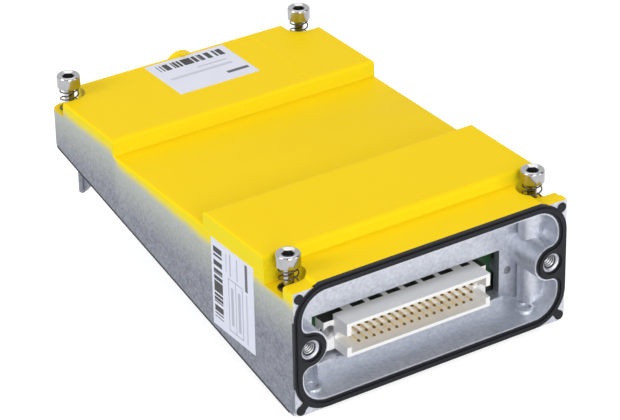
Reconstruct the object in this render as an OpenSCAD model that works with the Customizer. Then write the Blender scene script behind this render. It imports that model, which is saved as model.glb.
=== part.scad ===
// Input and output module of a safety laser scanner.
// A wedge-shaped die-cast housing carries the plug bay with its 48-way contact
// block in the front face, the boards behind it, and a plate that closes the
// slanted underside. Four captive, sprung screws fasten it to the scanner.
// Origin: middle of the footprint, on the lowest plane. X runs across the width,
// -Y is the side of the plug bay, and Z is the axis of the corner screws.

/* [Housing] */
// Width of the housing
body_w = 91; // [88:0.5:100]
// Length of the housing, front face to rear face
body_l = 132.5; // [128:0.5:150]
// Height of the front wall in its middle
front_h = 39.6; // [38.5:0.1:44]
// Height of the rear end, from the underside to the top
rear_h = 16.2; // [15:0.1:20]
// Length of the flat foot under the front wall
foot_l = 3; // [2:0.1:5]
// Thickness of the side walls
side_wall = 4.5; // [4.2:0.1:6]
// Thickness of the top wall
roof = 3; // [2.5:0.1:4]
// Thickness of the rear wall
rear_wall = 2.5; // [2:0.1:4]
// Radius of the upright rear corners
rear_corner_r = 3.8; // [2:0.1:4.5]
// Radius along the upper side edges
edge_r = 0.8; // [0.4:0.1:1.4]
// Radius of the steps across the top
step_r = 1.2; // [0.4:0.1:1.5]

/* [Top steps] */
// Depth of the low ledge at the front
ledge_l = 14.5; // [14.4:0.1:18]
// Rise from the ledge to the front block
ledge_rise = 3.8; // [3:0.1:5]
// Length of the front block
front_block_l = 30.7; // [24:0.1:40]
// Length of the rear block
rear_block_l = 37.9; // [30:0.1:45]
// Rise from the front block's top to the rear block's top
rear_rise = 0.4; // [0:0.1:1]
// Depth of the valley beside the front block
valley_front_d = 4.6; // [3.5:0.1:5]
// Depth of the valley beside the rear block
valley_rear_d = 4.9; // [4:0.1:5.5]
// Width of the shallow panel in the rear block
panel_w = 47; // [40:1:60]
// Depth of the shallow panel
panel_d = 0.15; // [0.1:0.05:0.4]
// Drop of the front corner pads below the ledge
pad_drop = 0.8; // [0.4:0.1:1.5]
// Width of the front corner pads
pad_w = 7.3; // [5:0.1:8]
// Depth of the label's seat: its height over the surface
label_t = 0.12; // [0.1:0.01:0.3]

/* [Corner screws] */
// Distance of the screws from the side faces
screw_side = 4.9; // [4.7:0.1:6]
// Distance of the front screws from the front face
screw_front = 9.6; // [9.4:0.1:9.8]
// Distance of the rear screws from the rear face
screw_rear = 3.9; // [3.9:0.1:6]
// Depth of the front pockets below the corner pads
pocket_d = 3.9; // [3:0.1:5]
// Depth of the rear notches below the rear block
notch_d = 4.5; // [3.5:0.1:6]
// Radius of the pockets and notches round the screws
pocket_r = 4.7; // [4.2:0.1:4.8]
// Travel of a screw from its raised rest down to its seat
screw_travel = 6.8; // [5:0.1:7]
// Radius of the screw head
head_r = 3.5; // [3.3:0.1:3.8]
// Height of the screw head
head_h = 4; // [3:0.1:5]
// Width across flats of the hexagon socket
hex_af = 3; // [2.5:0.1:3.5]
// Radius of the screw thread
thread_r = 2; // [1.8:0.05:2.1]
// Length of the screw thread
thread_l = 6; // [4:0.1:7]
// Radius of the slim neck
neck_r = 1.5; // [1.3:0.05:1.6]
// Depth of the retaining ring's groove in the neck
groove_d = 0.3; // [0.2:0.05:0.5]
// Thickness of the retaining ring
ring_t = 0.5; // [0.4:0.05:0.6]
// Outer radius of the retaining ring
ring_r = 2.55; // [2.45:0.05:2.6]
// Outer radius of the post round a front screw
post_r = 3.8; // [3.6:0.1:4.2]
// Outer radius of the collar round a spring's seat
collar_r = 4.9; // [4.4:0.1:5.2]

/* [Springs] */
// Outer radius of a spring
spring_r = 2.95; // [2.8:0.05:3]
// Thickness of the spring wire
spring_wire = 0.45; // [0.3:0.05:0.5]
// Turns of a spring
spring_turns = 4.25; // [3:0.25:5]
// Depth of the spring's seat below the pocket floor
seat_d = 2.7; // [2.6:0.1:2.9]
// Thickness of the web under the spring
web_t = 1.2; // [1:0.1:1.3]

/* [Plug bay] */
// Depth of the bay, front face to its back wall
bay_d = 12.5; // [12:0.1:14]
// Thickness of the back wall
bay_wall = 2.5; // [2:0.1:3.5]
// Corner radius of the bay
bay_r = 7.6; // [6:0.1:8.5]
// Width of the bare metal lip between bay and gasket
rim_lip = 0.5; // [0.4:0.1:0.8]
// Distance of the threaded bosses from the side faces
boss_side = 5.1; // [4.8:0.1:5.4]
// Height of the threaded bosses
boss_z = 20; // [19:0.1:21]
// Radius of the threaded bosses, with their lip
boss_r = 5.6; // [5.3:0.1:6]
// Radius of the fillets beside the bosses
boss_fillet = 2.4; // [1.5:0.1:2.6]
// Core radius of the bosses' threads
boss_hole_r = 2.1; // [1.7:0.05:2.2]
// Depth of the bosses' threads
boss_hole_d = 5.5; // [4.5:0.1:6]
// Depth of the ledge at the foot of the back wall
sill_l = 2.5; // [1.5:0.1:3]
// Half width of the window in the back wall
window_x = 31.7; // [30:0.1:32]
// Bottom edge of the window
window_z0 = 7; // [6:0.1:7.4]
// Top edge of the window
window_z1 = 21; // [20.5:0.1:23]
// Distance of the round floor pads from the side faces
floor_pad_side = 9.4; // [9:0.1:11]
// Radius of the round floor pads
floor_pad_r = 2.8; // [2:0.1:3]

/* [Gaskets] */
// Width of the gasket bands
gasket_w = 2.4; // [2:0.1:2.8]
// Depth of the front gasket's seat
gasket_seat = 0.8; // [0.5:0.1:1.2]
// Height of the front gasket's band over the face
gasket_base = 0.3; // [0.2:0.05:0.4]
// Height of the sealing bead over the band
bead_h = 0.4; // [0.2:0.05:0.6]
// Distance of the bead from the band's edges
bead_inset = 0.75; // [0.5:0.05:0.9]
// Radius of the gasket's round ears
ear_r = 1.4; // [1:0.1:1.5]
// Radius of the gasket's openings round the threads
gasket_ring_r = 2.9; // [2.7:0.1:3.2]
// Thickness of the underside seal
seal_t = 0.8; // [0.5:0.1:1]

/* [Contact block] */
// Contacts in each of the three rows
contact_n = 16; // [8:1:16]
// Spacing of the contacts and of their rows
contact_pitch = 2.54; // [2.54]
// Height of the middle row of contacts
block_z = 13.6; // [13.4:0.1:14.4]
// Recess of the contact tips behind the front face
tip_y = 8; // [7.6:0.1:9]
// Thickness of a contact
contact_t = 0.6; // [0.5:0.05:0.65]
// Length of a contact in front of the block's floor
contact_l = 7; // [6:0.1:7.2]
// Recess of the shroud's edge behind the front face
shroud_y = 6.5; // [6.2:0.1:7.4]
// Height of the shroud
shroud_h = 10.6; // [10.2:0.1:11]
// Thickness of the shroud's long walls
shroud_wall = 1; // [0.8:0.1:1.2]
// Margin from the end contacts to the shroud's end
shroud_end = 5.1; // [4.2:0.05:5.3]
// Thickness of the shroud's end walls
shroud_end_wall = 1.4; // [1.1:0.1:1.6]
// Length of the flanges beyond the shroud
flange_l = 3.3; // [3:0.1:5.2]
// Recess of the flanges behind the front face
flange_y = 13.1; // [11:0.1:13.5]
// Height of the flanges
flange_h = 9.4; // [8:0.1:9.6]
// Step from the shroud's top down to the flanges
flange_drop = 1.6; // [1.2:0.1:2]
// Distance of the rivets from the flanges' ends
rivet_in = 1.9; // [1.6:0.1:2.1]
// Depth at which the rivets sit in the flanges
rivet_sink = 2.2; // [1.6:0.1:2.6]
// Full-width pockets along the upper rear edge
pocket_n = 6; // [4:1:6]
// Spacing of the pockets
pocket_pitch = 5.98; // [5.4:0.02:6]
// Width of a pocket
pocket_w = 4.3; // [3.6:0.1:4.8]
// Depth of a pocket
pocket_h = 1.75; // [1.2:0.05:2]
// Recess of the pockets behind the front face
pocket_y = 13.5; // [13.2:0.1:15]
// Gap between the back wall and the contact board
board_gap = 2.3; // [2:0.1:3]

/* [Boards] */
// Thickness of the boards
board_t = 1.6; // [1:0.1:2]
// Room between the main board and the valley's top wall
board_headroom = 3.2; // [2.6:0.1:3.4]
// Gap between the contact board and the main board
board_step = 1; // [0.6:0.1:1.2]
// Half width of the main board
main_board_x = 34; // [30:0.5:34]
// Distance of the main board's rear edge from the rear face
main_board_rear = 12; // [11:0.5:20]
// Contacts in each of the head socket's two rows
socket_n = 20; // [12:1:22]
// Distance of the head socket from the rear face
socket_rear = 36.5; // [34:0.5:42]
// Width of the head socket
socket_w = 8; // [7:0.1:9]
// Thickness of the head socket's long walls
socket_wall = 1.2; // [0.8:0.1:1.4]
// Depth of the head socket's mouth
socket_mouth = 6; // [5:0.1:7]
// Height of the link between the two boards
link_h = 2.4; // [2:0.1:3]

/* [Parts on the main board] */
// Gap between neighbouring parts
parts_gap = 3; // [2:0.1:4]
// Height of the flat packages
chip_h = 2; // [1.2:0.1:2.4]
// Gap between the flat packages and the board
chip_lift = 0.2; // [0.1:0.05:0.4]
// Spacing of the packages' legs
leg_pitch = 1.9; // [1.6:0.1:2.2]
// Width of a leg
leg_w = 0.8; // [0.6:0.1:1]
// Reach of a leg beside its package
leg_l = 1.1; // [0.8:0.1:1.4]
// Length of the processor's package
processor_l = 20; // [16:0.5:22]
// Width of the processor's package
processor_w = 14; // [10:0.5:16]
// Gap between the processor and the head socket
processor_gap = 13; // [8:0.5:15]
// Length of a driver's package
driver_l = 10; // [8:0.5:12]
// Width of a driver's package
driver_w = 7; // [5:0.5:7.5]
// Distance of the drivers from the middle
driver_x = 24; // [22:0.5:26]
// Radius of a capacitor
capacitor_r = 4; // [3:0.1:4.5]
// Height of a capacitor
capacitor_h = 12; // [8:0.5:13]
// Spacing of the capacitors
capacitor_pitch = 12; // [10:0.5:14]
// Distance of the capacitors from the board's front edge
capacitor_in = 16; // [14:0.5:18]
// Outer radius of the choke
choke_r = 8; // [6:0.1:8.5]
// Radius of the choke's bore
choke_bore_r = 4.5; // [3:0.1:5]
// Height of the choke
choke_h = 6; // [4:0.1:8]
// Distance of the choke from the middle
choke_x = 22; // [20:0.5:24]

/* [Base plate] */
// Thickness of the base plate
plate_t = 2; // [1.5:0.1:2.5]
// Width of the seat that carries the plate's edge
plate_seat = 1.4; // [1.2:0.1:1.8]
// Gap round the plate
plate_gap = 0.2; // [0.1:0.05:0.4]
// Screws along each long side of the plate
plate_screw_n = 4; // [3:1:5]
// Radius of the plate screws' shanks
plate_screw_r = 1.5; // [1.2:0.05:1.6]
// Height of the bosses for the plate screws
plate_boss_h = 6; // [5:0.1:7]

/* [Prongs and boss] */
// Distance of a locating prong's axis from the side face
prong_in = 1.9; // [1.8:0.1:1.9]
// Radius of a prong
prong_r = 1; // [0.8:0.05:1.2]
// Thickness of the gusset before a prong
gusset_t = 1.1; // [0.8:0.1:1.1]
// Length of that gusset
gusset_l = 7.7; // [5:0.1:8]
// Length of a prong below the underside
prong_h = 9.4; // [6:0.1:10]
// Distance of a prong from the rear face
prong_rear = 14.1; // [13:0.1:16]
// Radius of the round boss on the rear face
rear_boss_r = 5.4; // [4.5:0.1:6]
// Rise of that boss over the top
rear_boss_rise = 0.9; // [0.5:0.1:1.2]

/* [Labels] */
// Length of a label
label_l = 27.5; // [20:0.5:30]
// Width of a label
label_w = 21.6; // [15:0.1:22]
// Distance of the top label from the rear face
top_label_rear = 1.9; // [1.6:0.1:8]
// Distance of the side label from the front face
side_label_front = 19.5; // [18:0.1:24]
// Height of the side label's lower edge
side_label_z = 10; // [9.5:0.1:11]

/* [Hidden] */
$fn = 48;
eps = 0.01;
over = 1;
half_w = body_w / 2;
// heights of the top, front to rear
pad_z = front_h - pad_drop;
front_block_z = front_h + ledge_rise;
rear_block_z = front_block_z + rear_rise;
valley_front_z = front_block_z - valley_front_d;
valley_rear_z = rear_block_z - valley_rear_d;
// places along the length
valley_y0 = ledge_l + front_block_l;
valley_y1 = body_l - rear_block_l;
foot_z = 0.3;
// the underside is a plane through the foot's rear edge
slope = atan2(rear_block_z - rear_h, body_l - foot_l);
slant_l = (body_l - foot_l) / cos(slope);
function under_z(y) = (y - foot_l) * tan(slope);
metal_lift = seal_t / cos(slope);
// screws
screw_x = half_w - screw_side;
screw_rear_y = body_l - screw_rear;
front_floor_z = pad_z - pocket_d;
rear_floor_z = rear_block_z - notch_d;
hole_r = thread_r + 0.25;
seat_r = spring_r + 0.15;
ring_bore_r = ring_r + 0.25;
ring_gap = 0.1;
ring_drop = seat_d + web_t + ring_gap;
tip_clear = 0.3;
// plug bay
bay_x = half_w - gasket_w - rim_lip;
bay_z0 = foot_z + gasket_w + rim_lip;
bay_z1 = front_h - gasket_w - rim_lip;
gasket_r = bay_r + rim_lip + gasket_w;
boss_x = half_w - boss_side;
fillet_x = bay_x - boss_fillet;
fillet_dz = sqrt(pow(boss_r + boss_fillet, 2) - pow(boss_x - fillet_x, 2));
ear_x = half_w - 0.4 - ear_r;
ear_low_z = foot_z + 0.1 + ear_r;
ear_high_z = pad_z - 0.7 - ear_r;
inner_y0 = bay_d + bay_wall;
// contact block
row_w = (contact_n - 1) * contact_pitch;
shroud_x = row_w / 2 + shroud_end;
flange_x = shroud_x + flange_l;
rivet_x = flange_x - rivet_in;
contact_floor_y = tip_y + contact_l;
board_y = inner_y0 + board_gap;
// boards
main_board_z = valley_front_z - roof - board_headroom - board_t;
contact_board_z1 = main_board_z - board_step;
main_board_y0 = board_y;
main_board_y1 = body_l - main_board_rear;
contact_board_z0 = under_z(board_y + board_t) + metal_lift + plate_t + 2.4;
contact_board_x = half_w - side_wall - 0.6;
socket_y = body_l - socket_rear;
pin_pitch = 2.54;
pin_t = 0.6;
pin_hole_r = 0.5;
socket_x = socket_n * pin_pitch / 2 + 0.6;
socket_z0 = under_z(socket_y) + metal_lift + 0.3;
capacitor_y = main_board_y0 + capacitor_in;
choke_y = capacitor_y + capacitor_r + parts_gap + choke_r;
driver_y = choke_y + choke_r + parts_gap + driver_w / 2;
processor_y = socket_y - socket_w / 2 - processor_gap - processor_w / 2;
link_n = 16;
link_w = 2.5;
// base plate, measured along the slant
plate_x = half_w - side_wall + plate_seat;
plate_y0 = (inner_y0 - plate_seat - foot_l) / cos(slope);
plate_y1 = (body_l - rear_wall - foot_l) / cos(slope);
plate_notch_x = screw_x - collar_r - 0.6;
plate_notch_y = (screw_rear_y - collar_r - 0.6 - foot_l) / cos(slope);
plate_screw_x = half_w - side_wall - 2.8;
plate_boss_r = plate_screw_r + 1.7;
plate_screw_in = 13;

// ---- helpers ----

// Moves the pieces, which are built back from the front face, to the origin
module placed() {
    translate([0, -body_l / 2, 0]) children();
}

// Extrudes an outline drawn in X and Z from y0 to y1
module along_y(y0, y1) {
    translate([0, y1, 0]) rotate([90, 0, 0]) linear_extrude(y1 - y0) children();
}

// Extrudes an outline drawn in Y and Z from x0 to x1
module along_x(x0, x1) {
    translate([x0, 0, 0]) rotate([90, 0, 90]) linear_extrude(x1 - x0) children();
}

// Puts pieces on the slanted underside: z = 0 is the seal's lower face
module on_slant() {
    translate([0, foot_l, 0]) rotate([slope, 0, 0]) children();
}

module both_sides() {
    children();
    mirror([1, 0, 0]) children();
}

function unit(v) = v / norm(v);

// Points of the arc of radius r that rounds corner p between a and b
function arc_points(a, p, b, r, n = 6) =
    let (u = unit(a - p), v = unit(b - p), half = acos(u * v) / 2,
        c = p + unit(u + v) * r / sin(half),
        from = p + u * r / tan(half) - c,
        to = p + v * r / tan(half) - c,
        a0 = atan2(from.y, from.x), turn = atan2(to.y, to.x) - a0,
        sweep = turn > 180 ? turn - 360 : turn < -180 ? turn + 360 : turn)
    [for (i = [0 : n]) c + r * [cos(a0 + sweep * i / n), sin(a0 + sweep * i / n)]];

// Outline whose corners [x, y, r] are rounded by their own radius
function rounded(c) =
    [for (i = [0 : len(c) - 1])
        let (a = c[(i + len(c) - 1) % len(c)], p = c[i], b = c[(i + 1) % len(c)])
        for (q = p.z == 0 ? [[p.x, p.y]]
            : arc_points([a.x, a.y], [p.x, p.y], [b.x, b.y], p.z)) q];

// Rectangle from -hx to hx and z0 to z1 with round corners
module round_rect(hx, z0, z1, r) {
    translate([-hx, z0 + r]) square([2 * hx, z1 - z0 - 2 * r]);
    translate([-hx + r, z0]) square([2 * hx - 2 * r, z1 - z0]);
    for (x = [-hx + r, hx - r], z = [z0 + r, z1 - r])
        translate([x, z]) circle(r);
}

// ---- housing ----

// Side view of the casting, with its slanted underside and stepped top
module side_outline() {
    polygon(rounded([
        [gasket_seat, foot_z, 0],
        [foot_l, foot_z, 0],
        [foot_l, metal_lift, 0],
        [body_l, under_z(body_l) + metal_lift, 0],
        [body_l, rear_block_z, step_r],
        [valley_y1, rear_block_z, step_r],
        [valley_y1, valley_rear_z, step_r / 2],
        [valley_y0, valley_front_z, step_r / 2],
        [valley_y0, front_block_z, step_r],
        [ledge_l, front_block_z, step_r],
        [ledge_l, front_h, step_r / 2],
        [gasket_seat, front_h, 0]]));
}

// Rounds the two upper side edges between (y0, z0) and (y1, z1)
module side_edge_cut(y0, z0, y1, z1) {
    run = norm([y1 - y0, z1 - z0]);
    both_sides() translate([half_w, y0, z0]) rotate([atan2(z1 - z0, y1 - y0), 0, 0])
        along_y(0, run) difference() {
            translate([-edge_r, -edge_r]) square(edge_r + over);
            translate([-edge_r, -edge_r]) circle(edge_r);
        }
}

// Rounds an upright edge at the side faces
module upright_cut(y, r, dir) {
    both_sides() translate([half_w, y, -over]) linear_extrude(rear_block_z + 2 * over)
        difference() {
            translate([-r, dir > 0 ? -r : -over]) square(r + over);
            translate([-r, -dir * r]) circle(r);
        }
}

// One threaded boss, as the bay's outline goes round it
module boss_outline(grow) {
    translate([boss_x, boss_z]) circle(boss_r - grow);
    difference() {
        translate([fillet_x, boss_z - fillet_dz])
            square([boss_side + boss_fillet + over, 2 * fillet_dz]);
        for (s = [-1, 1])
            translate([fillet_x, boss_z + s * fillet_dz]) circle(boss_fillet + grow);
    }
}

// Outline of the plug bay, grown outwards by grow on every side
module bay_outline(grow = 0) {
    difference() {
        round_rect(bay_x + grow, bay_z0 - grow, bay_z1 + grow, bay_r + grow);
        both_sides() boss_outline(grow);
    }
}

// Outer edge of the front gasket
module gasket_edge(inset = 0) {
    round_rect(half_w - inset, foot_z + inset, front_h - inset, gasket_r - inset);
}

// The gasket's four round ears, with their necks
module gasket_ears(grow = 0) {
    both_sides() for (e = [[ear_low_z, 1], [ear_high_z, -1]])
        translate([ear_x, e[0]]) {
            circle(ear_r + grow);
            rotate(135 + (e[1] > 0 ? 0 : 90)) translate([0, -ear_r * 0.8 - grow])
                square([ear_r * 2, 1.6 * ear_r + 2 * grow]);
        }
}

// Bare metal corner pads round the gasket's corners
module corner_pads() {
    w = gasket_r - 1.5;
    low_r = 2.4;
    difference() {
        both_sides() translate([half_w - w, 0]) difference() {
            union() {
                square([w, w]);
                translate([0, pad_z - w]) square([w, w]);
            }
            translate([w - low_r, 0]) difference() {
                translate([0, -over]) square([low_r + over, low_r + over]);
                translate([0, low_r]) circle(low_r);
            }
        }
        gasket_edge();
        gasket_ears(0.05);
    }
}

module screw_places() {
    both_sides() {
        translate([screw_x, screw_front, front_floor_z]) children(0);
        translate([screw_x, screw_rear_y, rear_floor_z]) children(1);
    }
}

// Stepped hole of one captive screw, measured down from its pocket's floor:
// the spring's seat, the web that holds the ring back, and the bore below it
module screw_hole(drop) {
    translate([0, 0, -seat_d]) cylinder(r = seat_r, h = seat_d + over);
    translate([0, 0, -seat_d - web_t - over]) cylinder(r = hole_r, h = web_t + 2 * over);
    translate([0, 0, -drop - over]) cylinder(r = ring_bore_r,
        h = drop + over - seat_d - web_t);
}

// Front pocket: round about the screw and open to the side
module front_pocket() {
    cylinder(r = pocket_r, h = 2 * pocket_d + ledge_rise);
    translate([0, -pocket_r, 0])
        cube([screw_side + over, 2 * pocket_r, 2 * pocket_d + ledge_rise]);
}

// Rear notch: round about the screw and open to the side and the rear
module rear_notch() {
    cylinder(r = pocket_r, h = notch_d + over);
    translate([0, -pocket_r, 0])
        cube([screw_side + over, pocket_r + screw_rear + over, notch_d + over]);
    translate([-pocket_r, 0, 0])
        cube([pocket_r + screw_side + over, screw_rear + over, notch_d + over]);
}

// Space for the boards, under a stepped ceiling
module board_space() {
    y1 = body_l - rear_wall;
    difference() {
        along_x(-half_w + side_wall, half_w - side_wall) polygon([
            [inner_y0, -over],
            [inner_y0, front_block_z - roof],
            [valley_y0 - roof, front_block_z - roof],
            [valley_y0 - roof, valley_front_z - roof],
            [valley_y1 + roof, valley_rear_z - roof],
            [valley_y1 + roof, rear_block_z - roof],
            [y1, rear_block_z - roof],
            [y1, -over]]);
        both_sides() translate([screw_x, screw_rear_y, -over])
            cylinder(r = collar_r, h = rear_block_z);
        both_sides() translate([screw_x - collar_r, screw_rear_y - over / 2, -over])
            cube([collar_r + over, rear_wall + screw_rear, rear_block_z]);
    }
}

// Outline of the base plate in its recess, along the slant
module plate_outline(gap = 0) {
    difference() {
        translate([-plate_x + gap, plate_y0 + gap])
            square([2 * (plate_x - gap), plate_y1 - plate_y0 - 2 * gap]);
        both_sides() translate([plate_notch_x - gap, plate_notch_y - gap])
            square([collar_r + screw_side + over, rear_block_l]);
    }
}

function plate_screw_y(i) =
    plate_y0 + plate_screw_in
    + i * (plate_notch_y - plate_y0 - 2 * plate_screw_in) / (plate_screw_n - 1);

module plate_screw_places() {
    both_sides() for (i = [0 : plate_screw_n - 1])
        translate([plate_screw_x, plate_screw_y(i), seal_t]) children();
}

main_screw_x = main_board_x - 4;
main_screw_y0 = main_board_y0 + board_t + 9;
main_screw_y1 = main_board_y1 - 5;

module main_screw_places() {
    both_sides() for (y = [main_screw_y0, main_screw_y1])
        translate([main_screw_x, y, 0]) children();
}

contact_screw_x = window_x + 2.9;

module contact_screw_places() {
    both_sides() translate([contact_screw_x, 0, block_z]) children();
}

// Locating prong below one side wall: a round pin, with a gusset before it
module prong() {
    y = body_l - prong_rear;
    root = under_z(y) + metal_lift;
    tip = root - prong_h;
    translate([half_w - prong_in, y, tip]) {
        cylinder(r1 = prong_r - 0.4, r2 = prong_r, h = 0.4);
        translate([0, 0, 0.4]) cylinder(r = prong_r, h = prong_h + 1);
    }
    along_x(half_w - prong_in - gusset_t, half_w - prong_in) polygon([
        [y, tip + 0.4], [y, root + 1.5], [y - gusset_l - 1, root + 1.5],
        [y - gusset_l, under_z(y - gusset_l) + 0.2],
        [y - prong_r * 0.7, tip + 0.4]]);
}

module housing() {
    color("gold") placed() difference() {
        union() {
            difference() {
                along_x(-half_w, half_w) side_outline();
                along_y(-over, bay_d) bay_outline();
                board_space();
                on_slant() translate([0, 0, -over])
                    linear_extrude(seal_t + plate_t + over) plate_outline();
                both_sides() along_y(-over, screw_front) polygon([
                    [half_w - pad_w - pad_drop, front_h], [half_w - pad_w, pad_z],
                    [half_w + over, pad_z], [half_w + over, front_h + over],
                    [half_w - pad_w - pad_drop, front_h + over]]);
                side_edge_cut(gasket_seat, pad_z, screw_front, pad_z);
                side_edge_cut(screw_front, front_h, ledge_l, front_h);
                side_edge_cut(ledge_l, front_block_z, valley_y0, front_block_z);
                side_edge_cut(valley_y0, valley_front_z, valley_y1, valley_rear_z);
                side_edge_cut(valley_y1, rear_block_z, body_l, rear_block_z);
            }
            // front corner pads, metal lip of the bay and faces of the bosses
            along_y(0, foot_l) corner_pads();
            along_y(0, gasket_seat + over) difference() {
                bay_outline(rim_lip);
                bay_outline();
            }
            along_y(0, gasket_seat + over) both_sides()
                translate([boss_x, boss_z]) circle(gasket_ring_r);
            // posts of the front screws, with collars round the springs
            both_sides() intersection() {
                union() {
                    translate([screw_x, screw_front, bay_z0 - 0.1])
                        cylinder(r = post_r, h = bay_z1 - bay_z0 + 0.2);
                    translate([screw_x, screw_front,
                        front_floor_z - seat_d - web_t - 0.4])
                        cylinder(r = collar_r, h = pocket_d + 4);
                }
                translate([0, gasket_seat, 0])
                    cube([half_w - edge_r, bay_d + 1, front_h - edge_r]);
            }
            // sill under the window and round pads on the bay's floor
            along_x(-window_x, window_x) polygon([
                [bay_d - sill_l, bay_z0 - 0.1], [bay_d - sill_l, window_z0 - 0.5],
                [bay_d - sill_l + 0.5, window_z0], [bay_d + 0.5, window_z0],
                [bay_d + 0.5, bay_z0 - 0.1]]);
            both_sides() translate([half_w - floor_pad_side, 6, bay_z0 - 0.1])
                cylinder(r = floor_pad_r, h = 1.1);
            // bosses for the board and plate screws
            contact_screw_places() rotate([-90, 0, 0])
                translate([0, 0, inner_y0 - 1]) cylinder(r = 2.8, h = board_gap + 1);
            main_screw_places() translate([0, 0, main_board_z + board_t])
                cylinder(r = 3, h = front_block_z - roof - main_board_z - board_t + 1);
            on_slant() plate_screw_places() translate([0, 0, plate_t])
                cylinder(r = plate_boss_r, h = plate_boss_h);
            both_sides() prong();
            along_y(body_l - rear_wall, body_l + gasket_base + bead_h)
                translate([0, rear_block_z + rear_boss_rise - rear_boss_r])
                circle(rear_boss_r);
        }
        upright_cut(body_l, rear_corner_r, 1);
        screw_places() {
            front_pocket();
            rear_notch();
        }
        screw_places() {
            screw_hole(front_floor_z);
            screw_hole(rear_floor_z - under_z(screw_rear_y));
        }
        // threads of the two plug screws, with their lead-in
        both_sides() translate([boss_x, 0, boss_z]) rotate([-90, 0, 0]) {
            translate([0, 0, -over]) cylinder(r = boss_hole_r, h = boss_hole_d + over);
            translate([0, 0, -eps])
                cylinder(r1 = boss_hole_r + 0.5, r2 = boss_hole_r, h = 0.5);
        }
        // window for the contact block, and hollows of the floor pads
        translate([-window_x, bay_d - eps, window_z0])
            cube([2 * window_x, bay_wall + 2 * eps, window_z1 - window_z0]);
        both_sides() translate([half_w - floor_pad_side, 6, bay_z0 + 0.3])
            cylinder(r = floor_pad_r - 0.9, h = 2);
        // screw holes of the boards and the plate
        contact_screw_places() rotate([-90, 0, 0]) translate([0, 0, bay_d - over])
            cylinder(r = 1.25, h = bay_wall + board_gap + 2 * over);
        main_screw_places() translate([0, 0, main_board_z + board_t - over])
            cylinder(r = 1.25, h = 2.2 + over);
        on_slant() plate_screw_places() translate([0, 0, plate_t - over])
            cylinder(r = plate_screw_r - 0.2, h = plate_boss_h - 1 + over);
        // shallow panel across the rear block
        translate([-panel_w / 2, valley_y1 - over, rear_block_z - panel_d])
            cube([panel_w, rear_block_l - rear_wall / 2 + over, 1]);
    }
}

// ---- seals ----

module front_gasket() {
    color("dimgray") placed() {
        along_y(-gasket_base, gasket_seat) difference() {
            union() {
                gasket_edge();
                gasket_ears();
            }
            bay_outline(rim_lip);
            both_sides() translate([boss_x, boss_z]) circle(gasket_ring_r);
        }
        along_y(-gasket_base - bead_h, 0) difference() {
            gasket_edge(bead_inset);
            bay_outline(rim_lip + bead_inset);
            both_sides() translate([boss_x, boss_z]) circle(gasket_ring_r + 0.5);
        }
    }
}

// Flat seal along the underside's edge; it widens inwards round the prongs
module base_seal() {
    prong_y = (body_l - prong_rear - foot_l) / cos(slope);
    prong_x = half_w - prong_in;
    // the upright prong crosses the slanted seal, and a plate below it, at an angle
    prong_lean = tan(slope) * 0.6;
    y0 = 0.3;
    y1 = slant_l - seal_t * tan(slope) - 0.1;
    r = rear_corner_r;
    color("dimgray") placed() on_slant() linear_extrude(seal_t) difference() {
        translate([-half_w, y0]) square([body_w, y1 - y0]);
        difference() {
            translate([-half_w + gasket_w, y0 + gasket_w])
                square([body_w - 2 * gasket_w, y1 - y0 - 2 * gasket_w]);
            both_sides() translate([prong_x - gusset_t - 1, prong_y - gusset_l - 2])
                square([prong_in + over, gusset_l + prong_r + 3]);
        }
        both_sides() {
            translate([half_w - r, y1 - r]) difference() {
                square(r + over);
                circle(r);
            }
            for (y = [screw_front, screw_rear_y])
                translate([screw_x, (y - foot_l) / cos(slope)])
                    circle(ring_bore_r + 0.3);
            translate([prong_x - gusset_t - 0.1, prong_y - gusset_l - 0.7])
                square([gusset_t + 0.2, gusset_l + 0.7]);
            translate([prong_x, prong_y - prong_lean]) circle(prong_r + 0.4);
        }
    }
}

// ---- base plate ----

module base_plate() {
    color("lightgray") placed() difference() {
        on_slant() translate([0, 0, seal_t]) linear_extrude(plate_t)
            plate_outline(plate_gap);
        translate([-socket_x - 0.4, socket_y - socket_w / 2 - 0.4, 0])
            cube([2 * socket_x + 0.8, socket_w + 0.8, rear_block_z]);
        on_slant() plate_screw_places() {
            translate([0, 0, -over]) cylinder(r = plate_screw_r + 0.2, h = plate_t + 2);
            translate([0, 0, -eps]) cylinder(r1 = 2 * plate_screw_r + 0.1,
                r2 = plate_screw_r + 0.1, h = plate_screw_r);
        }
    }
}

module base_plate_screws() {
    color("silver") placed() on_slant() plate_screw_places() difference() {
        union() {
            cylinder(r1 = 2 * plate_screw_r, r2 = plate_screw_r, h = plate_screw_r);
            cylinder(r = plate_screw_r - 0.2, h = plate_t + plate_boss_h - 1.5);
        }
        translate([0, 0, -eps]) cylinder(r = 0.9, h = 0.9, $fn = 6);
    }
}

// ---- contact block ----

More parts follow.
